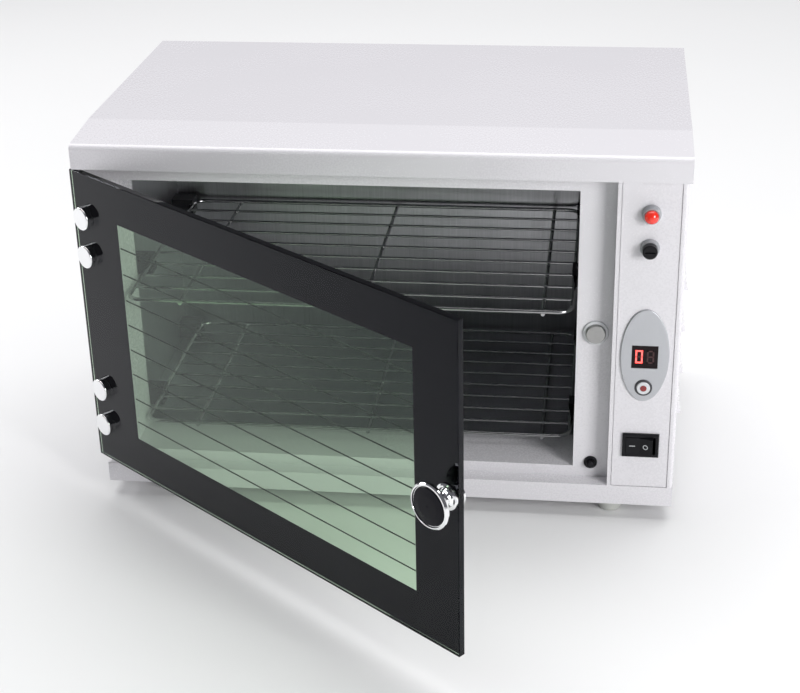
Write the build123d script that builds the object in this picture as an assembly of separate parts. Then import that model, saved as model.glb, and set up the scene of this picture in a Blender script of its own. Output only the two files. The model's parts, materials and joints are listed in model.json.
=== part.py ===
from build123d import *
import os

# Bench-top UV sterilizer cabinet, in millimetres.
# +X right, +Y to the back, +Z up. The origin is the middle of the base's underside.

# cabinet
width = 340.0
depth = 202.0
sheet = 1.0
left, right = -width / 2, width / 2
front, back = -depth / 2, depth / 2
foot_height = 10.0
wall_top = 214.0

# hood: the lid that overhangs the front
hood_bottom = 202.4
hood_top = 219.3
hood_overhang = 4.6
hood_side_gap = 0.3
hood_nose = 213.6
hood_nose_radius = 3.0
hood_crease = front + 34.8
frame_top = hood_bottom + 2.1
louvre_heights = (53, 79, 105, 131)

# front frame: the seat that the closed door lies in, and the opening behind it
seat_depth = 10.0
seat = front + seat_depth
rail_top = 12.3
seat_right = 131.8
rib_right = 134.0
border_left = 166.6
open_left, open_right = -153.3, 111.5
open_bottom, open_top = 19.0, 191.7
jamb_back = -53.0

# control panel
panel_face = front + 0.4
panel_thick = 1.5
panel_bottom, panel_top = rail_top + 0.3, hood_bottom - 0.2
panel_left, panel_right = rib_right + 0.3, border_left - 0.3
panel_x = (panel_left + panel_right) / 2
pilot_z, fuse_z = 183.0, 163.0
oval_z, oval_width, oval_height = 97.8, 27.4, 57.0
display_z, display_width, display_height = 97.2, 15.4, 14.8
button_z = 78.0
rocker_z, rocker_width, rocker_height = 40.3, 21.0, 15.0
rocker_tilt = 10.0
rocker_pivot_y = panel_face + 1.1

# chamber liner
liner_sheet = 0.8
liner_left, liner_right = -164.0, 118.8
liner_back = 80.3
liner_bottom, liner_top = 16.2, 196.8

# racks
rack_left, rack_right = -151.4, 109.6
rack_frame_radius, rack_wire_radius = 1.2, 0.8
rack_wires = 10
rack_back = 75.0
upper_rack_z, upper_rack_front = 117.0, -88.0
lower_rack_z, lower_rack_front = 27.0, -70.0
rack_bar_x = (-118.5, -12.5, 92.0)

# lamp, a 6 W tube with two-pin caps
lamp_x, lamp_y, lamp_z = -22.6, 0.0, 176.0
lamp_length, lamp_radius = 212.0, 8.0
lamp_cap_length = 10.0

# door, drawn closed and then swung open about its hinge pins
glass_thick = 4.0
glass_left, glass_right = -171.5, 129.5
glass_bottom, glass_top = 17.0, 200.0
glass_front = front + 1.2
glass_back = glass_front + glass_thick
pin_x, pin_y = -170.5, -93.4
door_open = 38.0
hinge_heights = (glass_bottom + 37.4, glass_top - 37.4)
hinge_half_height = 18.0
middle_knuckle = 7.8
knuckle_radius = 2.1
leaf_thick = 1.2
pad_thick = 0.5
leaf_back = glass_back + pad_thick + leaf_thick
body_screw_x = -160.5
body_screw_half_pitch = 4.0
hinge_screw_x = glass_left + 12.8
hinge_screw_half_pitch = 11.6
cap_radius, cap_height = 6.75, 4.5

# door pull, which the magnet catch holds through the glass
pull_x, pull_z = 122.4, 106.4
strike_thick = 1.2
catch_face = glass_back + strike_thick + 0.3
switch_x, switch_z = 121.8, 22.1

# mains inlet, low on the back behind the control panel
inlet_x, inlet_z = 140.0, 40.0

# running clearances
turning_gap = 0.1
lift_gap = 0.2


def slab(x, y, z):
    """A block between two values on each axis."""
    corner = Align.MIN, Align.MIN, Align.MIN
    return Pos(x[0], y[0], z[0]) * Box(x[1] - x[0], y[1] - y[0], z[1] - z[0], align=corner)


def rod_x(x, y, z, radius):
    return Pos(x[0], y, z) * Rot(0, 90, 0) * upright(radius, x[1] - x[0])


def rod_y(x, y, z, radius):
    return Pos(x, y[0], z) * Rot(-90, 0, 0) * upright(radius, y[1] - y[0])


def rod_z(x, y, z, radius):
    return Pos(x, y, z[0]) * upright(radius, z[1] - z[0])


def upright(radius, length):
    return Cylinder(radius, length, align=(Align.CENTER, Align.CENTER, Align.MIN))


def turned_y(x, y, z, outline):
    """Spins an outline of (radius, distance in front of y) about an axis that points forwards."""
    flat = make_face(Polyline(*outline, close=True))
    return Pos(x, y, z) * Rot(0, 0, 180) * revolve(flat, Axis.Y)


def swing(shape):
    """Turns a piece of the closed door to its stored, part-open place."""
    return shape.rotate(Axis((pin_x, pin_y, 0), (0, 0, 1)), -door_open)


# ---------------------------------------------------------------- casing

def outer_shell():
    floor = slab((left, right), (front + sheet, back - sheet), (0, sheet))
    left_wall = slab((left, left + sheet), (seat, back - sheet), (0, wall_top))
    right_wall = slab((right - sheet, right), (front + 3, back - sheet), (0, wall_top))
    shell = floor + left_wall + right_wall
    for z in louvre_heights:
        shell = louvre(shell, z)
    for x, y in foot_places():
        shell -= rod_z(x, y, (-1, 2), 2.1)
    return shell


def louvre(shell, z):
    """Presses one vent out of the right-hand wall: a slanted lip that opens downwards."""
    y = front + 18, front + 78
    rise, reach = 10.0, 3.0
    outer = Polyline((right, z), (right + reach, z), (right, z + rise), close=True)
    inner = Polyline((right - 2, z - 1), (right + reach - 1.1, z - 1), (right - 2, z + rise + 2), close=True)
    lip = Pos(0, y[1], 0) * extrude(Plane.XZ * make_face(outer), y[1] - y[0])
    hollow = Pos(0, y[1] - 1, 0) * extrude(Plane.XZ * make_face(inner), y[1] - y[0] - 2)
    return shell + lip - hollow


def foot_places():
    return [(x, y) for x in (-134, 134) for y in (front + 15, back - 15)]


def hood_outline(inset):
    """The side outline of the hood, moved in by inset."""
    nose_y = front - hood_overhang + inset
    rear_y = back + hood_side_gap + sheet - inset
    top = hood_top - inset
    nose_radius = hood_nose_radius - inset
    up = Line((nose_y, hood_bottom), (nose_y, hood_nose))
    turn = RadiusArc(up @ 1, (nose_y + 0.9 * nose_radius, hood_nose + nose_radius), nose_radius)
    slope = Line(turn @ 1, (hood_crease, top))
    lid = Line(slope @ 1, (rear_y, top))
    down = Line(lid @ 1, (rear_y, hood_bottom))
    close = Line(down @ 1, up @ 0)
    return Plane.YZ * make_face([up, turn, slope, lid, down, close])


def top_cover():
    half = right + hood_side_gap + sheet
    outer = Pos(-half, 0, 0) * extrude(hood_outline(0), 2 * half)
    inner = Pos(sheet - half, 0, 0) * extrude(hood_outline(sheet), 2 * (half - sheet))
    lip_y = front - hood_overhang + 0.9, front + 0.5
    lip = slab((sheet - half, half - sheet), lip_y, (hood_bottom, hood_bottom + sheet))
    return outer - inner + lip


def back_panel():
    panel = slab((left, right), (back - sheet, back), (0, wall_top))
    panel -= slab((inlet_x - 13.7, inlet_x + 13.7), (back - 3, back + 1), (inlet_z - 10, inlet_z + 10))
    for x in range(-120, 81, 8):
        panel -= slab((x, x + 3.5), (back - 3, back + 1), (150, 175))
    for x, z in rear_screw_places():
        panel -= rod_y(x, (back - 3, back + 1), z, 1.6)
    return panel


def rear_screw_places():
    return [(x, z) for x in (-160, 160) for z in (12, 100, 188)]


def rear_screws():
    shaft_y = back - 5, back + 0.1
    return [rod_y(x, shaft_y, z, 1.5) + screw_head(x, back, z) for x, z in rear_screw_places()]


def screw_head(x, y, z, radius=3.2, height=1.8):
    """A round cross-slot screw head that stands out of the back."""
    head = rod_y(x, (y, y + height), z, radius)
    head = fillet(head.edges().group_by(Axis.Y)[-1], 0.9)
    for w, h in ((1.8, 0.35), (0.35, 1.8)):
        head -= slab((x - w, x + w), (y + height - 0.9, y + height + 1), (z - h, z + h))
    return head


def foot(x, y):
    body = Cone(6.5, 10.0, foot_height, align=(Align.CENTER, Align.CENTER, Align.MAX))
    body = fillet(body.edges().group_by(Axis.Z)[0], 1.2)
    body -= Pos(0, 0, -foot_height) * upright(3.6, 4.0)
    body -= Pos(0, 0, -foot_height) * upright(2.1, foot_height)
    return Pos(x, y, 0) * body


def foot_screw(x, y):
    shaft = upright(1.9, 9.6)
    head = upright(3.3, 2.2)
    return Pos(x, y, -6.0) * (shaft + Pos(0, 0, -2.2) * head)


# ---------------------------------------------------------------- front frame

def front_frame():
    rail = slab((left, right), (front, front + sheet), (0, rail_top))
    ledge = slab((left + sheet, rib_right), (front, seat + sheet), (rail_top - sheet, rail_top))
    head = slab((left + sheet, rib_right), (front + 0.6, seat + sheet), (frame_top - sheet, frame_top))
    plate = slab((left + sheet, seat_right), (seat, seat + sheet), (rail_top - sheet, frame_top))
    rib = slab((seat_right, rib_right), (front, seat + sheet), (rail_top - sheet, hood_bottom - 0.1))
    border = slab((border_left, right), (front, front + 3), (rail_top, hood_bottom - 0.1))
    border = fillet(border.edges().filter_by(Axis.Z).group_by(Axis.X)[-1][0], 2.2)
    frame = rail + ledge + head + plate + rib + border + panel_seats()
    frame -= slab((open_left, open_right), (seat - 1, seat + 3), (open_bottom, open_top))
    frame += jamb()
    frame -= rod_y(pull_x, (seat - 1, seat + 2), pull_z, 3.0)
    frame -= rod_y(switch_x, (seat - 1, seat + 2), switch_z, 3.5)
    for x, z in body_screw_places():
        frame -= rod_y(x, (seat - 1, seat + 2), z, 1.6)
    return frame


def panel_seats():
    """The two strips behind the control panel's long edges."""
    y = panel_face + panel_thick, panel_face + panel_thick + sheet
    z = rail_top - sheet, hood_bottom - 0.1
    return slab((rib_right - 0.1, rib_right + 2.6), y, z) + slab((border_left - 2.4, border_left + 0.5), y, z)


def jamb():
    """The short duct that joins the opening to the chamber."""
    y = seat, jamb_back
    outer = slab((open_left - sheet, open_right + sheet), y, (open_bottom - sheet, open_top + sheet))
    return outer - slab((open_left, open_right), (seat - 1, jamb_back + 1), (open_bottom, open_top))


# ---------------------------------------------------------------- chamber

def liner_walls():
    z = liner_bottom + liner_sheet, liner_top - liner_sheet
    outer = slab((liner_left, liner_right), (jamb_back, liner_back), z)
    inner = slab(
        (liner_left + liner_sheet, liner_right - liner_sheet),
        (jamb_back + liner_sheet, liner_back - liner_sheet),
        (z[0] - 1, z[1] + 1),
    )
    mouth = slab((open_left, open_right), (jamb_back - 1, jamb_back + 2), (open_bottom, open_top))
    return outer - inner - mouth


def liner_sheet_at(z):
    return slab((liner_left, liner_right), (jamb_back, liner_back), (z, z + liner_sheet))


def reflector():
    """A shallow folded trough above the lamp."""
    x = lamp_x - 92, lamp_x + 92
    top, drop = liner_top - liner_sheet - 0.1, 8.0
    thick = 0.6
    outer = Polyline((-14, top), (14, top), (32, top - drop), (-32, top - drop), close=True)
    lower = top - thick
    reach = thick * 1.6
    bottom = top - drop - 1
    low_half, top_half = 32 - reach, 14 - reach / 4
    inner = Polyline((-top_half, lower), (top_half, lower), (low_half, bottom), (-low_half, bottom), close=True)
    trough = extrude(Plane.YZ * make_face(outer), x[1] - x[0])
    trough -= extrude(Plane.YZ * make_face(inner), x[1] - x[0])
    return Pos(x[0], lamp_y, 0) * trough


def lamp_ends():
    return lamp_x - lamp_length / 2, lamp_x + lamp_length / 2


def uv_tube():
    start, end = lamp_ends()
    span = start + lamp_cap_length, end - lamp_cap_length
    glass = rod_x(span, lamp_y, lamp_z, lamp_radius)
    return glass - rod_x((span[0] + 1, span[1] - 1), lamp_y, lamp_z, lamp_radius - 0.8)


def tube_caps():
    """Both metal caps, each with its two contact pins."""
    start, end = lamp_ends()
    caps = []
    for x, out in ((start, -1), (end, 1)):
        cap = rod_x(sorted((x, x - out * lamp_cap_length)), lamp_y, lamp_z, lamp_radius)
        for y in (-2.5, 2.5):
            cap += rod_x(sorted((x - out, x + out * 7.0)), lamp_y + y, lamp_z, 1.15)
        caps.append(cap)
    return caps


def lamp_holder(x, out):
    """One socket: its hub takes the two pins as the tube is turned."""
    near = x + out * 1.0
    far = x + out * 13.0
    body = slab(sorted((near, far)), (lamp_y - 9, lamp_y + 9), (lamp_z - 9, liner_top - liner_sheet))
    body = fillet(body.edges().filter_by(Axis.X).group_by(Axis.Z)[0], 5.0)
    return body - rod_x(sorted((near - out, x + out * 8.5)), lamp_y, lamp_z, 4.2)


# ---------------------------------------------------------------- racks

def wire_rack(z, y_front):
    """A wire shelf: a round-cornered frame, long wires and three bars under them."""
    x0, x1 = rack_left + rack_frame_radius, rack_right - rack_frame_radius
    y0, y1 = y_front, rack_back
    corner = 8.0
    outline = Pos((x0 + x1) / 2, (y0 + y1) / 2, z) * RectangleRounded(x1 - x0, y1 - y0, corner)
    path = outline.face().outer_wire()
    section = Plane(origin=path @ 0, z_dir=path % 0) * Circle(rack_frame_radius)
    rack = sweep(section, path)
    pitch = (y1 - y0) / (rack_wires - 1)
    for n in range(1, rack_wires - 1):
        rack += rod_x((x0, x1), y0 + n * pitch, z, rack_wire_radius)
    for x in rack_bar_x:
        rack += rod_y(x, (y0 - 0.4, y1 + 0.4), z - 1.5, rack_frame_radius)
    return rack


def rack_clips(z):
    """Four slotted clips on the chamber's side walls, which the rack's edge runs in."""
    slot = z - rack_frame_radius - lift_gap, z + rack_frame_radius + lift_gap
    sides = (liner_left + liner_sheet, rack_left, 1), (liner_right - liner_sheet, rack_right, -1)
    clips = []
    for wall, edge, inward in sides:
        for y in (-38, 62):
            clip = slab(sorted((wall, edge + 2.6 * inward)), (y, y + 12), (z - 6, z + 5))
            clip -= slab(sorted((edge - 0.4 * inward, edge + 3.6 * inward)), (y - 1, y + 13), slot)
            clips.append(clip)
    return clips


# ---------------------------------------------------------------- catch and door switch

def magnet_catch():
    disc = rod_y(pull_x, (catch_face, seat), pull_z, 5.6)
    disc = fillet(disc.edges().group_by(Axis.Y)[0], 0.6)
    return disc + rod_y(pull_x, (seat, seat + 5), pull_z, 2.8)


def catch_ring():
    ring = rod_y(pull_x, (seat - 1.4, seat), pull_z, 7.4)
    ring = fillet(ring.edges().group_by(Axis.Y)[0], 0.8)
    return ring - rod_y(pull_x, (seat - 3, seat + 1), pull_z, 5.7)


def catch_nut():
    nut = Pos(pull_x, seat + sheet, pull_z) * Rot(-90, 0, 0) * extrude(RegularPolygon(4.6, 6), 2.4)
    return nut - rod_y(pull_x, (seat, seat + 6), pull_z, 2.85)


def switch_body():
    flange = rod_y(switch_x, (seat - 1.4, seat), switch_z, 3.9)
    flange = fillet(flange.edges().group_by(Axis.Y)[0], 0.5)
    barrel = rod_y(switch_x, (seat, seat + 16), switch_z, 3.4)
    return flange + barrel - rod_y(switch_x, (seat - 3, seat + 13), switch_z, 2.2 + turning_gap)


def switch_plunger():
    tip = rod_y(switch_x, (glass_back + 0.4, seat + 9), switch_z, 2.2)
    return fillet(tip.edges().group_by(Axis.Y)[0], 0.9)


# ---------------------------------------------------------------- control panel

def control_panel():
    y = panel_face, panel_face + panel_thick
    plate = slab((panel_left, panel_right), y, (panel_bottom, panel_top))
    cut = y[0] - 1, y[1] + 1
    plate -= rod_y(panel_x, cut, pilot_z, 3.9)
    plate -= rod_y(panel_x, cut, fuse_z, 4.1)
    plate -= rod_y(panel_x, cut, button_z, 4.4)
    plate -= slab(spread(panel_x, display_width), cut, spread(display_z, display_height))
    plate -= slab(spread(panel_x, rocker_width - 1.6), cut, spread(rocker_z, rocker_height - 1.6))
    return plate


def spread(middle, size):
    return middle - size / 2, middle + size / 2


def oval_plate():
    oval = Plane.XZ * Ellipse(oval_width / 2, oval_height / 2)
    plate = Pos(panel_x, panel_face, oval_z) * extrude(oval, 1.2)
    plate = fillet(plate.edges().group_by(Axis.Y)[0], 0.5)
    cut = panel_face - 3, panel_face + 1
    plate -= slab(spread(panel_x, display_width - 0.6), cut, spread(display_z, display_height - 0.6))
    return plate - rod_y(panel_x, cut, button_z, 4.4)


def display_window():
    y = panel_face - 0.8, panel_face
    return slab(spread(panel_x, display_width - 0.8), y, spread(display_z, display_height - 0.8))


def display_module():
    y = panel_face + 0.1, panel_face + 8.0
    return slab(spread(panel_x, display_width - 0.2), y, spread(display_z, display_height - 0.2))


def timer_board():
    y = panel_face + 8.0, panel_face + 9.6
    return slab(spread(panel_x, 27), y, (62, 122))


def button_collar():
    outline = [(3.9, -6.0), (4.3, -6.0), (4.3, 1.2), (5.0, 1.2), (5.0, 1.6), (4.6, 1.9), (3.9, 1.9)]
    return turned_y(panel_x, panel_face, button_z, outline)


def panel_button():
    outline = [(0, -6.0), (3.8, -6.0), (3.8, 2.2), (3.4, 2.5), (1.9, 2.5), (1.9, 2.0), (0, 2.0)]
    return turned_y(panel_x, panel_face, button_z, outline)


def button_lens():
    outline = [(0, 2.0), (1.85, 2.0), (1.85, 2.6), (0, 2.8)]
    return turned_y(panel_x, panel_face, button_z, outline)


def pilot_bezel():
    outline = [(3.2, -9.0), (3.8, -9.0), (3.8, 0), (5.4, 0), (5.4, 1.0), (4.5, 4.6), (3.9, 4.6), (3.2, 3.6)]
    return turned_y(panel_x, panel_face, pilot_z, outline)


def pilot_lens():
    outline = [(0, -6), (3.1, -6), (3.1, 4.6), (3.75, 4.7), (3.75, 6.0), (0, 6.0)]
    stem = turned_y(panel_x, panel_face, pilot_z, outline)
    return stem + Pos(panel_x, panel_face - 6.0, pilot_z) * Rot(90, 0, 0) * dome_cap(3.75, 2.2)


def dome_cap(radius, height):
    """A shallow ball cap on a flat circle."""
    ball = (radius ** 2 + height ** 2) / (2 * height)
    whole = Pos(0, 0, height - ball) * Sphere(ball)
    return whole & upright(radius + 1, height + 1)


def fuse_holder():
    outline = [(3.3, -22), (4.0, -22), (4.0, 0), (5.4, 0), (5.4, 1.0), (4.6, 2.6), (3.3, 2.6)]
    tube = turned_y(panel_x, panel_face, fuse_z, outline)
    end = rod_y(panel_x, (panel_face + 22, panel_face + 24), fuse_z, 4.0)
    return tube + end


def fuse_cap():
    outline = [(0, -4), (3.2, -4), (3.2, 2.8), (4.1, 2.8), (4.1, 6.6), (3.6, 7.1), (0, 7.1)]
    cap = turned_y(panel_x, panel_face, fuse_z, outline)
    slot = panel_face - 8, panel_face - 6.1
    return cap - slab(spread(panel_x, 5.6), slot, spread(fuse_z, 1.0))


def fuse_link():
    return rod_y(panel_x, (panel_face + 4.1, panel_face + 21.5), fuse_z, 2.6)


# ---------------------------------------------------------------- rocker switch

def rocker_body():
    y = panel_face
    flange = slab(spread(panel_x, rocker_width), (y - 1.8, y), spread(rocker_z, rocker_height))
    flange = chamfer(flange.edges().group_by(Axis.Y)[0], 0.5)
    box = slab(spread(panel_x, rocker_width - 1.9), (y, y + 15), spread(rocker_z, rocker_height - 1.9))
    hollow = slab(spread(panel_x, 17.2), (y - 3, y + 9), spread(rocker_z, 11.0))
    return flange + box - hollow


def rocker_paddle():
    """The paddle, dished across its face and pushed in on its left end."""
    side = 7.7
    outline = Polyline(
        (-side, -4.6), (0, -3.2), (side, -4.6), (side - 0.3, -1.0), (2.4, 3.4), (-2.4, 3.4),
        (0.3 - side, -1.0), close=True,
    )
    block = Pos(0, 0, -5.2) * extrude(make_face(outline), 10.4)
    return Pos(panel_x, rocker_pivot_y, rocker_z) * Rot(0, 0, -rocker_tilt) * block


# ---------------------------------------------------------------- service bay

def ballast():
    case = slab((126, 162), (-10, 78), (sheet, 30))
    return fillet(case.edges().filter_by(Axis.Y), 1.5)


def terminal_block():
    block = slab((128, 160), (-48, -30), (sheet, 16))
    for x in range(132, 160, 8):
        block -= rod_z(x, -39, (9, 17), 2.2)
    return block


def power_inlet():
    """A three-pin chassis inlet, with no cord."""
    flange = slab((inlet_x - 15.5, inlet_x + 15.5), (back, back + 2.4), (inlet_z - 12, inlet_z + 12))
    flange = fillet(flange.edges().filter_by(Axis.Y), 3.0)
    box = slab((inlet_x - 13.5, inlet_x + 13.5), (back - 14, back), (inlet_z - 9.8, inlet_z + 9.8))
    mouth = slab((inlet_x - 12, inlet_x + 12), (back - 12, back + 3), (inlet_z - 8, inlet_z + 8))
    return flange + box - mouth


def inlet_pins():
    pins = []
    for x, z in ((-7, -2), (0, 3), (7, -2)):
        pins.append(slab(spread(inlet_x + x, 2), (back - 12, back - 0.5), spread(inlet_z + z, 4)))
    return pins


# ---------------------------------------------------------------- hinges

def body_screw_places():
    half = body_screw_half_pitch
    return [(body_screw_x, z + step) for z in hinge_heights for step in (-half, half)]


def door_screw_places():
    half = hinge_screw_half_pitch
    return [(hinge_screw_x, z + step) for z in hinge_heights for step in (-half, half)]


def pin_rod(z, radius):
    """A cylinder on the hinge axis."""
    return rod_z(pin_x, pin_y, z, radius)


def body_leaf(z):
    """The leaf on the cabinet, with the middle knuckle."""
    span = z - middle_knuckle, z + middle_knuckle
    leaf = slab((pin_x, -155.0), (seat - leaf_thick, seat), span)
    leaf += pin_rod(span, knuckle_radius)
    leaf -= pin_rod((span[0] - 1, span[1] + 1), 1.25)
    for x, screw_z in body_screw_places():
        leaf -= rod_y(x, (seat - 3, seat + 1), screw_z, 1.6)
    return leaf


def body_leaf_screws():
    screws = []
    face = seat - leaf_thick
    for x, z in body_screw_places():
        screws.append(rod_y(x, (face, seat + 5), z, 1.5) + rod_y(x, (face - 0.8, face), z, 2.8))
    return screws


def door_leaf(z):
    """The leaf on the glass, with the two outer knuckles."""
    half = hinge_half_height
    notch = middle_knuckle + lift_gap
    leaf = slab((pin_x, -147.5), (glass_back + pad_thick, leaf_back), (z - half, z + half))
    leaf -= slab((pin_x - 3, pin_x + 2.6), (glass_back, leaf_back + 1), (z - notch, z + notch))
    leaf += pin_rod((z - half, z - notch), knuckle_radius)
    leaf += pin_rod((z + notch, z + half), knuckle_radius)
    leaf -= pin_rod((z - half - 1, z + half + 1), 1.25)
    for x, screw_z in door_screw_places():
        leaf -= rod_y(x, (glass_back, leaf_back + 1), screw_z, 2.1)
    return swing(leaf)


def hinge_pin(z):
    half = hinge_half_height
    pin = pin_rod((z - half - 0.6, z + half + 0.6), 1.2)
    for low in (z - half - 1.6, z + half + 0.2):
        pin += pin_rod((low, low + 1.4), 2.0)
    return pin


def hinge_pad(z):
    """The thin plastic pad between a leaf and the glass."""
    half = hinge_half_height - 1
    pad = slab((hinge_screw_x - 7, -148.5), (glass_back, glass_back + pad_thick), (z - half, z + half))
    for x, screw_z in door_screw_places():
        pad -= rod_y(x, (glass_back - 1, glass_back + 1), screw_z, 2.4)
    return swing(pad)


def hinge_screw_caps():
    caps = []
    for x, z in door_screw_places():
        cap = rod_y(x, (glass_front - cap_height, glass_front), z, cap_radius)
        cap = fillet(cap.edges().group_by(Axis.Y)[0], 0.7)
        caps.append(swing(cap - rod_y(x, (glass_front - 2.6, glass_front + 1), z, 2.05)))
    return caps


def hinge_screws():
    screws = []
    for x, z in door_screw_places():
        shaft = rod_y(x, (glass_front - 2.4, leaf_back), z, 2.0)
        screws.append(swing(shaft + rod_y(x, (leaf_back, leaf_back + 1.4), z, 3.2)))
    return screws


# ---------------------------------------------------------------- door

def door_glass():
    pane = slab((glass_left, glass_right), (glass_front, glass_back), (glass_bottom, glass_top))
    pane = chamfer(pane.edges(), 0.3)
    for x, z in door_screw_places():
        pane -= rod_y(x, (glass_front - 1, glass_back + 1), z, 2.4)
    pane -= rod_y(pull_x, (glass_front - 1, glass_back + 1), pull_z, 2.4)
    return swing(pane)


def pull_base():
    """The stepped, flared foot of the door pull."""
    outline = [(2.1, 0), (6.9, 0), (6.9, 0.8), (6.0, 1.3), (5.2, 1.5), (4.6, 2.4), (4.3, 3.2), (2.1, 3.2)]
    return swing(turned_y(pull_x, glass_front, pull_z, outline))


def door_pull():
    """The turned stem and the mushroom head, hollowed for its insert."""
    outline = [
        (2.1, 3.2), (3.9, 3.2), (3.0, 4.6), (2.8, 5.6), (3.3, 6.8), (4.6, 7.8), (4.6, 8.4), (8.0, 9.2),
        (11.4, 10.6), (12.0, 11.8), (12.0, 12.6), (11.4, 13.2), (10.7, 13.3), (10.4, 12.6), (0, 12.6),
        (0, 9.0), (2.1, 9.0),
    ]
    return swing(turned_y(pull_x, glass_front, pull_z, outline))


def pull_insert():
    outline = [(0, 12.6), (10.2, 12.6), (9.6, 13.3), (6.0, 13.8), (0, 14.0)]
    return swing(turned_y(pull_x, glass_front, pull_z, outline))


def pull_screw():
    screw = rod_y(pull_x, (glass_front - 8.8, glass_back + 0.3), pull_z, 2.0)
    head = rod_y(pull_x, (glass_back + 0.3, glass_back + strike_thick), pull_z, 3.6)
    return swing(screw + head)


def strike_plate():
    """The steel disc round the pull's screw head, which the magnet holds."""
    disc = rod_y(pull_x, (glass_back, glass_back + strike_thick), pull_z, 7.0)
    disc -= rod_y(pull_x, (glass_back + 0.3, glass_back + 2), pull_z, 3.6)
    return swing(disc - rod_y(pull_x, (glass_back - 1, glass_back + 1), pull_z, 2.0))


# ---------------------------------------------------------------- writing the pieces

def pieces():
    start, end = lamp_ends()
    lower, upper = hinge_heights
    return {
        "outer_shell": outer_shell(),
        "top_cover": top_cover(),
        "back_panel": back_panel(),
        "rear_screws": rear_screws(),
        "feet": [foot(x, y) for x, y in foot_places()],
        "foot_screws": [foot_screw(x, y) for x, y in foot_places()],
        "front_frame": front_frame(),
        "liner_walls": liner_walls(),
        "liner_floor": liner_sheet_at(liner_bottom),
        "liner_ceiling": liner_sheet_at(liner_top - liner_sheet),
        "lamp_reflector": reflector(),
        "lamp_holder_left": lamp_holder(start, -1),
        "lamp_holder_right": lamp_holder(end, 1),
        "uv_tube": uv_tube(),
        "tube_caps": tube_caps(),
        "upper_rack": wire_rack(upper_rack_z, upper_rack_front),
        "lower_rack": wire_rack(lower_rack_z, lower_rack_front),
        "upper_rack_clips": rack_clips(upper_rack_z),
        "lower_rack_clips": rack_clips(lower_rack_z),
        "magnet_catch": magnet_catch(),
        "catch_ring": catch_ring(),
        "catch_nut": catch_nut(),
        "door_switch_body": switch_body(),
        "door_switch_plunger": switch_plunger(),
        "control_panel": control_panel(),
        "oval_plate": oval_plate(),
        "display_window": display_window(),
        "display_module": display_module(),
        "timer_board": timer_board(),
        "button_collar": button_collar(),
        "panel_button": panel_button(),
        "button_lens": button_lens(),
        "pilot_bezel": pilot_bezel(),
        "pilot_lens": pilot_lens(),
        "fuse_holder": fuse_holder(),
        "fuse_cap": fuse_cap(),
        "fuse_link": fuse_link(),
        "rocker_body": rocker_body(),
        "rocker_paddle": rocker_paddle(),
        "lamp_ballast": ballast(),
        "terminal_block": terminal_block(),
        "power_inlet": power_inlet(),
        "inlet_pins": inlet_pins(),
        "upper_body_leaf": body_leaf(upper),
        "lower_body_leaf": body_leaf(lower),
        "body_leaf_screws": body_leaf_screws(),
        "upper_door_leaf": door_leaf(upper),
        "lower_door_leaf": door_leaf(lower),
        "upper_hinge_pin": hinge_pin(upper),
        "lower_hinge_pin": hinge_pin(lower),
        "hinge_pads": [hinge_pad(z) for z in hinge_heights],
        "hinge_screw_caps": hinge_screw_caps(),
        "hinge_screws": hinge_screws(),
        "door_glass": door_glass(),
        "pull_base": pull_base(),
        "door_pull": door_pull(),
        "pull_insert": pull_insert(),
        "pull_screw": pull_screw(),
        "strike_plate": strike_plate(),
    }


os.makedirs("parts", exist_ok=True)
for node, shape in pieces().items():
    whole = Compound(children=shape) if isinstance(shape, list) else shape
    export_step(whole, f"parts/{node}.step")
    print(node)
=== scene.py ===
import json
import math

import bmesh
import bpy
from mathutils import Matrix, Vector


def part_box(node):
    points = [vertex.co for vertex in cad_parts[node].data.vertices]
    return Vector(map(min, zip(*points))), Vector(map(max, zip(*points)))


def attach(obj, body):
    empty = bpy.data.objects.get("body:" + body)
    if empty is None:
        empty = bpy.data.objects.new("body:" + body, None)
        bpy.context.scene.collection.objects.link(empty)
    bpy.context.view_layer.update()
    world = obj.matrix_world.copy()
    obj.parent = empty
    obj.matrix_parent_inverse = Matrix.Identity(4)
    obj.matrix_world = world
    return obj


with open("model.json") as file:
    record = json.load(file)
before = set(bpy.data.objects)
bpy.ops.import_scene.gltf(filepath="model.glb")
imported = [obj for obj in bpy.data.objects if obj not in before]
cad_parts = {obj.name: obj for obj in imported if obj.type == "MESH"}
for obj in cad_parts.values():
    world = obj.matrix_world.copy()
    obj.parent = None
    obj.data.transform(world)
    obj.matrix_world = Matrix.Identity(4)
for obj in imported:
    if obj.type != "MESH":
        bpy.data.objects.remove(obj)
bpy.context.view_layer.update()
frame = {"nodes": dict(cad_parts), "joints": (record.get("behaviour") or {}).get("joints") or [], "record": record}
nodes = frame["nodes"]
joints = {j["name"]: j for j in frame["joints"]}
mm = 0.001
print("frame loaded:", len(nodes), "nodes")


cameraLook = {
    "place": (126.1, -945.8, 506.8),  # mm, in the part's frame
    "yaw": 7.749,                     # degrees turned to the left of +Y
    "pitch": 25.618,                  # degrees tipped down
    "roll": -1.285,
    "lens": 74.12,
    "sensor": 36.0,
    "near": 0.01,
}


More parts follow.
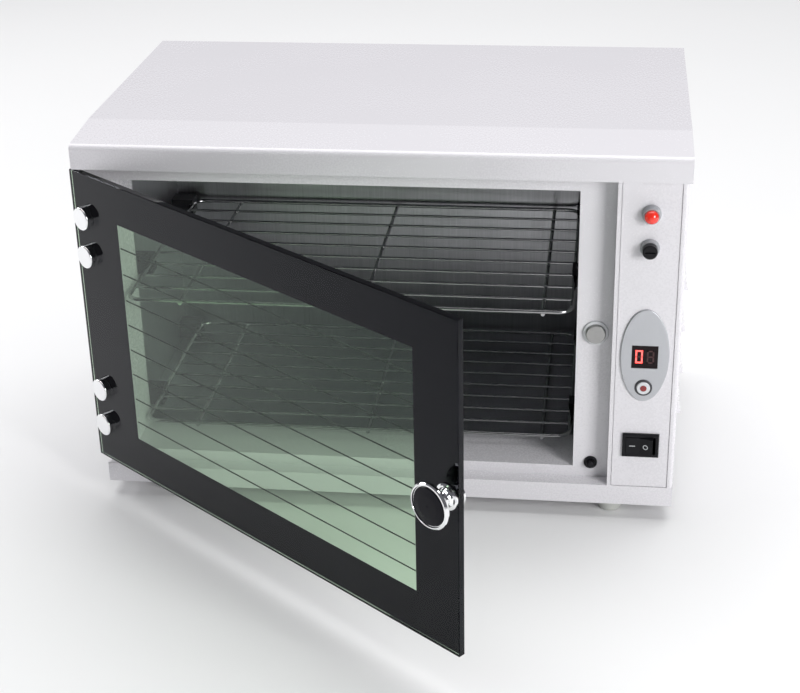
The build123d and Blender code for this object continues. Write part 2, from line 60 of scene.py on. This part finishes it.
def makeCamera(look):
    yaw, pitch, roll = (math.radians(look[k]) for k in ("yaw", "pitch", "roll"))
    ahead = Vector((-math.sin(yaw) * math.cos(pitch), math.cos(yaw) * math.cos(pitch), -math.sin(pitch)))
    side = Vector((math.cos(yaw), math.sin(yaw), 0))
    above = side.cross(ahead)
    right = side * math.cos(roll) + above * math.sin(roll)
    up = above * math.cos(roll) - side * math.sin(roll)
    turn = Matrix((right, up, -ahead)).transposed()
    data = bpy.data.cameras.new("camera")
    data.lens = look["lens"]
    data.sensor_width = look["sensor"]
    data.clip_start = look["near"]
    cam = bpy.data.objects.new("camera", data)
    cam.matrix_world = Matrix.Translation(Vector(look["place"]) * mm) @ turn.to_4x4()
    bpy.context.scene.collection.objects.link(cam)
    bpy.context.scene.camera = cam


# places, aims and sizes in metres, powers in watts
studioLight = {
    "world": (0.90, 0.91, 1.0, 1),
    "worldPower": 0.14,
    "lamps": {
        "keyRight": {"place": (0.80, -0.80, 0.42), "aim": (0, -0.02, 0.1), "size": (0.4, 0.5), "power": 7.6},
        "leftLow": {"place": (-1.35, 0.25, 0.65), "aim": (-0.75, 0, 0), "size": (0.6, 0.6), "power": 6},
        "topSoft": {"place": (0.1, 0.5, 2.2), "aim": (0, -0.02, 0.1), "size": (3.0, 2.6), "power": 68},
    },
}


def makeLamp(name, look):
    data = bpy.data.lights.new(name, "AREA")
    data.shape = "RECTANGLE"
    data.size, data.size_y = look["size"]
    data.energy = look["power"]
    lamp = bpy.data.objects.new(name, data)
    lamp.location = look["place"]
    aim = Vector(look["aim"]) - Vector(look["place"])
    lamp.rotation_euler = aim.to_track_quat("-Z", "Y").to_euler()
    bpy.context.scene.collection.objects.link(lamp)


def makeStudio(look):
    for name, lampLook in look["lamps"].items():
        makeLamp(name, lampLook)
    world = bpy.data.worlds.new("studio")
    world.use_nodes = True
    background = world.node_tree.nodes["Background"]
    background.inputs["Color"].default_value = look["world"]
    background.inputs["Strength"].default_value = look["worldPower"]
    bpy.context.scene.world = world
    bpy.context.scene.view_settings.view_transform = "Standard"


makeCamera(cameraLook)
makeStudio(studioLight)
print("camera and lights set")


class Wire:
    # an output socket; sums written on it become Math nodes
    def __init__(self, maker, socket):
        self.maker = maker
        self.socket = socket

    def maths(self, operation, first, second):
        return self.maker.add("ShaderNodeMath", {"operation": operation}, {0: first, 1: second})

    def __add__(self, other):
        return self.maths("ADD", self, other)

    def __radd__(self, other):
        return self.maths("ADD", other, self)

    def __mul__(self, other):
        return self.maths("MULTIPLY", self, other)

    def __rmul__(self, other):
        return self.maths("MULTIPLY", other, self)

    def __lt__(self, other):
        return self.maths("LESS_THAN", self, other)

    def __gt__(self, other):
        return self.maths("GREATER_THAN", self, other)


class Maker:
    # one material and its node tree
    def __init__(self, name):
        self.material = bpy.data.materials.new(name)
        self.material.use_nodes = True
        self.tree = self.material.node_tree
        self.tree.nodes.clear()
        self.place = self.add("ShaderNodeTexCoord", output="Object")

    def add(self, kind, settings=None, inputs=None, output=0):
        node = self.tree.nodes.new(kind)
        for key, value in (settings or {}).items():
            setattr(node, key, value)
        for key, value in (inputs or {}).items():
            if isinstance(value, Wire):
                self.tree.links.new(value.socket, node.inputs[key])
            else:
                node.inputs[key].default_value = value
        return Wire(self, node.outputs[output]) if node.outputs else None

    def noise(self, size, detail, stretch=None):
        # size is the width of one blotch in metres
        place = self.place
        if stretch:
            place = self.add("ShaderNodeMapping", None, {"Vector": self.place, "Scale": stretch})
        return self.add("ShaderNodeTexNoise", None, {"Vector": place, "Scale": 1 / size, "Detail": detail})

    def blend(self, factor, first, second):
        return self.add("ShaderNodeMix", {"data_type": "RGBA"}, {0: factor, 6: first, 7: second}, 2)

    def bump(self, height, distance, strength):
        values = {"Height": height, "Distance": distance, "Strength": strength}
        return self.add("ShaderNodeBump", None, values)

    def surface(self, **values):
        names = {key: key.replace("_", " ") for key in values}
        return self.add("ShaderNodeBsdfPrincipled", None, {names[k]: v for k, v in values.items()})

    def finish(self, shader):
        self.add("ShaderNodeOutputMaterial", None, {"Surface": shader})
        return self.material


def grey(level, tint=(1, 1, 1)):
    return (level * tint[0], level * tint[1], level * tint[2], 1)


# pattern sizes and depths are in metres in all the finishes
enamelLook = {
    "deep": (0.73, 0.715, 0.745, 1),
    "pale": (0.75, 0.735, 0.765, 1),
    "dust": (0.45, 0.44, 0.43, 1),
    "dustShare": 0.07,
    "dustSize": 0.00035,
    "blotchSize": 0.09,
    "peelSize": 0.0011,
    "peelDepth": 0.000012,
    "rough": 0.22,
    "coat": 0.3,
}


def whiteEnamel(look):
    # powder coat with a fine orange peel and a few dust specks
    m = Maker("white_enamel")
    blotch = m.noise(look["blotchSize"], 2)
    peel = m.noise(look["peelSize"], 2)
    speck = m.noise(look["dustSize"], 1) > 0.74
    colour = m.blend(blotch, look["deep"], look["pale"])
    colour = m.blend(speck * look["dustShare"], colour, look["dust"])
    rough = look["rough"] + blotch * 0.05 + peel * 0.05
    return m.finish(m.surface(Base_Color=colour, Roughness=rough, Coat_Weight=look["coat"],
                              Coat_Roughness=0.1, Normal=m.bump(peel, look["peelDepth"], 0.3)))


linerLook = {
    "deep": (0.35, 0.35, 0.365, 1),
    "pale": (0.54, 0.54, 0.565, 1),
    "streakSize": 0.0009,
    "streakPull": (1, 1, 0.02),  # long streaks up the walls
    "waveSize": 0.05,
    "waveDepth": 0.00035,
    "smudgeSize": 0.018,
    "rough": 0.24,
}


def polishedLiner(look):
    # thin polished sheet: rolling streaks, a slow ripple and hand smudges
    m = Maker("polished_liner")
    streak = m.noise(look["streakSize"], 3, look["streakPull"])
    wave = m.noise(look["waveSize"], 2)
    smudge = m.noise(look["smudgeSize"], 4) > 0.56
    colour = m.blend(streak, look["deep"], look["pale"])
    rough = look["rough"] + streak * 0.14 + smudge * 0.04
    normal = m.bump(streak * 0.05 + wave, look["waveDepth"], 0.35)
    return m.finish(m.surface(Base_Color=colour, Metallic=1.0, Roughness=rough, Normal=normal))


def chromePlate(name, level, rough):
    m = Maker(name)
    cloud = m.noise(0.006, 3)
    pit = m.noise(0.0006, 2)
    colour = m.blend(cloud, grey(level, (0.97, 0.98, 1)), grey(level + 0.07))
    return m.finish(m.surface(Base_Color=colour, Metallic=1.0, Roughness=rough + cloud * 0.07,
                              Normal=m.bump(pit, 0.00001, 0.3)))


paneLook = {
    "tint": (0.60, 0.79, 0.59, 1),
    "shine": (0.10, 0.11, 0.17, 1),  # weakens the pane's reflection, so that its border stays black
    "smearSize": 0.03,
    "smearRough": 0.035,
}


def doorPane(look):
    m = Maker("door_glass")
    smear = m.noise(look["smearSize"], 4) > 0.60
    return m.finish(m.surface(Base_Color=look["tint"], Roughness=smear * look["smearRough"], IOR=1.5,
                              Specular_Tint=look["shine"], Transmission_Weight=1.0))


inkLook = {
    "deep": (0.0012, 0.0012, 0.002, 1),
    "pale": (0.003, 0.003, 0.004, 1),
    "speckSize": 0.006,
    "cloudSize": 0.04,
}


def printedBlack(look):
    m = Maker("printed_black")
    speck = m.noise(look["speckSize"], 2)
    cloud = m.noise(look["cloudSize"], 2)
    colour = m.blend(speck, look["deep"], look["pale"])
    return m.finish(m.surface(Base_Color=colour, Roughness=0.5 + cloud * 0.2, Specular_IOR_Level=0.0))


def moulded(name, colour, rough, grain=0.0006, depth=0.00003, shine=0.0, specular=0.5):
    # moulded plastic: fine spark texture and a faint change of tone
    m = Maker(name)
    spark = m.noise(grain, 2)
    cloud = m.noise(0.012, 3)
    dark = tuple(c * 0.84 for c in colour) + (1,)
    light = tuple(min(1, c * 1.12 + 0.004) for c in colour) + (1,)
    tone = m.blend(cloud * 0.6 + spark * 0.4, dark, light)
    return m.finish(m.surface(Base_Color=tone, Roughness=rough + spark * 0.12, Coat_Weight=shine,
                              Specular_IOR_Level=specular, Normal=m.bump(spark, depth, 0.5)))


plateLook = {
    "deep": (0.42, 0.43, 0.45, 1),
    "pale": (0.58, 0.59, 0.62, 1),
    "flakeSize": 0.00022,
    "cloudSize": 0.02,
    "metal": 0.75,
    "rough": 0.32,
}


def silverPlate(look):
    # silver lacquer with metal flakes in it
    m = Maker("silver_plastic")
    flake = m.noise(look["flakeSize"], 2)
    cloud = m.noise(look["cloudSize"], 2)
    tone = m.blend(flake, look["deep"], look["pale"])
    return m.finish(m.surface(Base_Color=tone, Metallic=look["metal"], Roughness=look["rough"] + cloud * 0.12,
                              Coat_Weight=0.3, Normal=m.bump(flake, 0.00001, 0.4)))


def redLens(name, glow, shade=1.0):
    m = Maker(name)
    swirl = m.noise(0.0025, 3)
    tone = m.blend(swirl, grey(0.50 * shade, (1, 0.012, 0.012)), grey(0.78 * shade, (1, 0.04, 0.025)))
    hot = m.blend(swirl, (0.9, 0.02, 0.01, 1), (1.0, 0.10, 0.04, 1))
    return m.finish(m.surface(Base_Color=tone, Roughness=0.08 + swirl * 0.08, Coat_Weight=0.6,
                              Emission_Color=hot, Emission_Strength=glow))


def brushedZinc(name, level, rough):
    m = Maker(name)
    turned = m.noise(0.0004, 3, (1, 1, 0.2))
    spangle = m.noise(0.0022, 2)
    tone = m.blend(spangle, grey(level * 0.85), grey(level, (1, 0.99, 0.96)))
    return m.finish(m.surface(Base_Color=tone, Metallic=1.0, Roughness=rough + turned * 0.14,
                              Normal=m.bump(turned, 0.00002, 0.5)))


def clearTube(name, tint):
    m = Maker(name)
    haze = m.noise(0.01, 3)
    return m.finish(m.surface(Base_Color=tint, Roughness=haze * 0.05, IOR=1.46, Transmission_Weight=1.0))


def circuitBoard():
    # green board: cells for the copper under the lacquer, and a fine weave
    m = Maker("circuit_board")
    track = m.add("ShaderNodeTexVoronoi", {"distance": "MANHATTAN", "feature": "F1"},
                  {"Vector": m.place, "Scale": 420.0}, "Distance")
    fibre = m.noise(0.0005, 2)
    tone = m.blend(track < 0.32, (0.015, 0.10, 0.035, 1), (0.05, 0.24, 0.09, 1))
    return m.finish(m.surface(Base_Color=tone, Roughness=0.35 + fibre * 0.15,
                              Normal=m.bump(track, 0.00005, 0.5)))


def glowingDigit(glow):
    m = Maker("lit_digit")
    grain = m.noise(0.0006, 2)
    hot = m.blend(grain, (1.0, 0.02, 0.03, 1), (1.0, 0.22, 0.18, 1))
    return m.finish(m.surface(Base_Color=(0.5, 0.01, 0.01, 1), Roughness=0.4, Emission_Color=hot,
                              Emission_Strength=glow))


# one finish for each of the record's material slots
finishes = {
    "white_enamel": whiteEnamel(enamelLook),
    "polished_liner": polishedLiner(linerLook),
    # the rack wire's chrome gets a much lower level than the fittings' chrome: painted shade for the dark chamber
    # the racks stand in
    "chrome_wire": chromePlate("chrome_wire", 0.38, 0.14),
    "chrome_fittings": chromePlate("chrome_fittings", 0.84, 0.05),
    "door_glass": doorPane(paneLook),
    "black_plastic": moulded("black_plastic", (0.006, 0.006, 0.008), 0.26, specular=0.18),
    "grey_plastic": moulded("grey_plastic", (0.36, 0.37, 0.39), 0.26, shine=0.3),
    "white_plastic": moulded("white_plastic", (0.74, 0.75, 0.77), 0.28, shine=0.2),
    "clear_pad": moulded("clear_pad", (0.52, 0.55, 0.55), 0.30),
    "silver_plastic": silverPlate(plateLook),
    "display_acrylic": moulded("display_acrylic", (0.008, 0.003, 0.004), 0.08, depth=0.000002, specular=0.15),
    "red_lens": redLens("red_lens", 0.25),
    "black_insert": moulded("black_insert", (0.008, 0.008, 0.012), 0.12, depth=0.000004, specular=0.1),
    "magnet_grey": brushedZinc("magnet_grey", 0.42, 0.30),
    "foot_rubber": moulded("foot_rubber", (0.56, 0.57, 0.54), 0.55, 0.0009, 0.00006),
    "zinc_steel": brushedZinc("zinc_steel", 0.66, 0.22),
    "lamp_glass": clearTube("lamp_glass", (0.90, 0.94, 0.97, 1)),
    "cap_aluminium": brushedZinc("cap_aluminium", 0.80, 0.24),
    "fuse_glass": clearTube("fuse_glass", (0.88, 0.93, 0.93, 1)),
    "pin_brass": chromePlate("pin_brass", 0.60, 0.16),
    "circuit_board": circuitBoard(),
    "ballast_case": moulded("ballast_case", (0.40, 0.41, 0.43), 0.35),
}
# nodes that look different from the rest of their slot
ownFinishes = {
    "button_collar": moulded("collar_dark", (0.045, 0.045, 0.05), 0.35),
    "panel_button": moulded("button_white", (0.70, 0.71, 0.73), 0.28, shine=0.2),
    "button_lens": redLens("button_lens_red", 0.0, 0.35),
}
for entry in frame["record"]["subparts"]:
    material = ownFinishes.get(entry["node"], finishes[entry["material_slot"]])
    slots = nodes[entry["node"]].material_slots
    if slots:
        slots[0].material = material
    else:
        nodes[entry["node"]].data.materials.append(material)
print("finishes:", len(finishes))


def finishPiece(name, bm, material, body):
    mesh = bpy.data.meshes.new(name)
    bm.to_mesh(mesh)
    bm.free()
    mesh.materials.append(material)
    piece = bpy.data.objects.new(name, mesh)
    bpy.context.scene.collection.objects.link(piece)
    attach(piece, body)


def addBlock(bm, x, y, z):
    # a block between two values on each axis
    low = Vector((min(x), min(y), min(z)))
    high = Vector((max(x), max(y), max(z)))
    made = bmesh.ops.create_cube(bm, size=1.0)
    bmesh.ops.scale(bm, vec=high - low, verts=made["verts"])
    bmesh.ops.translate(bm, vec=(low + high) / 2, verts=made["verts"])


def addRing(bm, radius, stroke, proud):
    # a flat ring that faces -Y, spun from its section
    inner = radius - stroke
    corners = ((radius, 0), (inner, 0), (inner, -proud), (radius, -proud))
    section = bm.faces.new([bm.verts.new((x, y, 0)) for x, y in corners])
    bmesh.ops.spin(bm, geom=[section], cent=(0, 0, 0), axis=(0, 1, 0), angle=math.tau, steps=32,
                   use_merge=True, use_duplicate=False)


# the door's pieces are drawn shut and then swung open about the hinge pins
doorJoint = joints["door_hinge"]
hingePin = Vector(doorJoint["pos_m"])
shutAngle = math.radians(doorJoint["range_deg"][0])
swingOpen = (Matrix.Translation(hingePin) @ Matrix.Rotation(-shutAngle, 4, Vector(doorJoint["axis"]))
             @ Matrix.Translation(-hingePin))


def shutBox(name):
    # a door node's box with the door shut
    back = swingOpen.inverted()
    spots = [back @ v.co for v in nodes[name].data.vertices]
    low = Vector([min(s[i] for s in spots) for i in range(3)])
    high = Vector([max(s[i] for s in spots) for i in range(3)])
    return low, high


def openDoor(bm):
    bmesh.ops.transform(bm, matrix=swingOpen, verts=bm.verts)


# the ink on the door's inner face, in mm from the glass's left and bottom edges
doorPrint = {
    "left": 39.8,        # the clear window's edges
    "right": 270.0,
    "bottom": 24.2,
    "top": 159.0,
    "edge": 0.35,        # bare rim left round the print
    "bite": 0.02,        # how far the ink reaches into the glass's back face
    "thick": 0.08,
    "lineHeight": 0.9,
    "lineStop": 1.2,     # gap between the lines and the window's left edge
    "lines": (145.3, 129.5, 113.6, 98.3, 82.6, 67.0, 51.0, 35.8),
    "lineColour": (0.05, 0.065, 0.055),
}


def makeDoorPrint(look):
    low, high = shutBox("door_glass")
    near = high.y - look["bite"] * mm
    y = (near, near + look["thick"] * mm)
    left, right = low.x + look["left"] * mm, low.x + look["right"] * mm
    bottom, top = low.z + look["bottom"] * mm, low.z + look["top"] * mm
    edge = look["edge"] * mm
    bm = bmesh.new()
    addBlock(bm, (low.x + edge, left), y, (low.z + edge, high.z - edge))
    addBlock(bm, (right, high.x - edge), y, (low.z + edge, high.z - edge))
    addBlock(bm, (left, right), y, (low.z + edge, bottom))
    addBlock(bm, (left, right), y, (top, high.z - edge))
    openDoor(bm)
    finishPiece("door_print_border", bm, printedBlack(inkLook), "door")
    bm = bmesh.new()
    half = look["lineHeight"] * mm / 2
    stop = look["lineStop"] * mm
    for height in look["lines"]:
        z = low.z + height * mm
        addBlock(bm, (left + stop, right - stop / 4), y, (z - half, z + half))
    openDoor(bm)
    lineInk = moulded("printed_line", look["lineColour"], 0.4)
    finishPiece("door_print_lines", bm, lineInk, "door")


makeDoorPrint(doorPrint)
print("door print made")


# the two-digit display, mm
display = {
    "digits": "0 ",
    "digitWidth": 4.4,
    "digitHeight": 8.4,
    "bar": 1.2,
    "gap": 6.4,          # from one digit's middle to the next
    "trim": 0.15,        # taken off each segment's ends
    "thick": 0.12,
    "stand": 0.01,       # air between the segments and the window
    "glow": 2.2,
}
segmentsOf = {
    "0": "abcdef", "1": "bc", "2": "abged", "3": "abgcd", "4": "fgbc",
    "5": "afgcd", "6": "afgedc", "7": "abc", "8": "abcdefg", "9": "abcdfg",
}


def makeDigits(look):
    low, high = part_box("display_window")
    y = (low.y - look["thick"] * mm, low.y - look["stand"] * mm)
    middle = (low + high) / 2
    w, h, bar = (look[k] * mm / 2 for k in ("digitWidth", "digitHeight", "bar"))
    spots = {
        "a": ((-w, w), (h - 2 * bar, h)), "g": ((-w, w), (-bar, bar)), "d": ((-w, w), (-h, 2 * bar - h)),
        "b": ((w - 2 * bar, w), (0, h)), "c": ((w - 2 * bar, w), (-h, 0)),
        "f": ((-w, 2 * bar - w), (0, h)), "e": ((-w, 2 * bar - w), (-h, 0)),
    }
    trim = look["trim"] * mm
    lit = bmesh.new()
    dark = bmesh.new()
    for place, digit in enumerate(look["digits"]):
        x0 = middle.x + (place - 0.5) * look["gap"] * mm
        for segment, (x, z) in spots.items():
            bm = lit if segment in segmentsOf.get(digit, "") else dark
            across = (x0 + x[0] + trim, x0 + x[1] - trim)
            tall = (middle.z + z[0] + trim, middle.z + z[1] - trim)
            addBlock(bm, across, y, tall)
    unlit = moulded("dark_segment", (0.05, 0.012, 0.014), 0.3)
    finishPiece("display_lit_segments", lit, glowingDigit(look["glow"]), "cabinet")
    finishPiece("display_dark_segments", dark, unlit, "cabinet")


makeDigits(display)
print("display made")


# the on and off marks on the rocker, mm
rockerMarks = {
    "barPlace": -4.2,    # from the paddle's middle
    "ringPlace": 3.4,
    "barLength": 3.4,
    "stroke": 0.45,
    "ringRadius": 1.5,
    "proud": 0.08,
    "colour": (0.55, 0.56, 0.58),
}


def paddleFace(x, z):
    # where the paddle's front face is at that spot, and which way it faces
    hit, spot, normal, index = nodes["rocker_paddle"].ray_cast(Vector((x, -1, z)), Vector((0, 1, 0)))
    return spot, normal


def makeRockerMarks(look):
    low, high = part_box("rocker_paddle")
    middle = (low + high) / 2
    stroke, proud = look["stroke"] * mm, look["proud"] * mm
    bm = bmesh.new()
    for mark in ("bar", "ring"):
        start = len(bm.verts)
        spot, normal = paddleFace(middle.x + look[mark + "Place"] * mm, middle.z)
        if mark == "bar":
            half = look["barLength"] * mm / 2
            addBlock(bm, (-half, half), (-proud, 0), (-stroke / 2, stroke / 2))
        else:
            addRing(bm, look["ringRadius"] * mm, stroke, proud)
        bm.verts.ensure_lookup_table()
        turn = Vector((0, -1, 0)).rotation_difference(normal).to_matrix().to_4x4()
        bmesh.ops.transform(bm, matrix=Matrix.Translation(spot) @ turn, verts=bm.verts[start:])
    bmesh.ops.recalc_face_normals(bm, faces=bm.faces)
    finishPiece("rocker_marks", bm, moulded("mark_white", look["colour"], 0.35), "rocker")


makeRockerMarks(rockerMarks)
print("rocker marks made")


floorLook = {
    "half": 6.0,         # metres
    "gap": 0.0002,       # below the feet
    "deep": (0.80, 0.80, 0.80, 1),
    "pale": (0.84, 0.84, 0.84, 1),
    "cloudSize": 0.5,
}


def makeFloor(look):
    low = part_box("feet")[0]
    bm = bmesh.new()
    bmesh.ops.create_grid(bm, x_segments=2, y_segments=2, size=look["half"])
    bmesh.ops.translate(bm, vec=(0, 0, low.z - look["gap"]), verts=bm.verts)
    mesh = bpy.data.meshes.new("floor")
    bm.to_mesh(mesh)
    bm.free()
    m = Maker("floor_paper")
    colour = m.blend(m.noise(look["cloudSize"], 2), look["deep"], look["pale"])
    mesh.materials.append(m.finish(m.surface(Base_Color=colour, Roughness=0.9)))
    floor = bpy.data.objects.new("floor", mesh)
    bpy.context.scene.collection.objects.link(floor)


makeFloor(floorLook)
print("floor made")
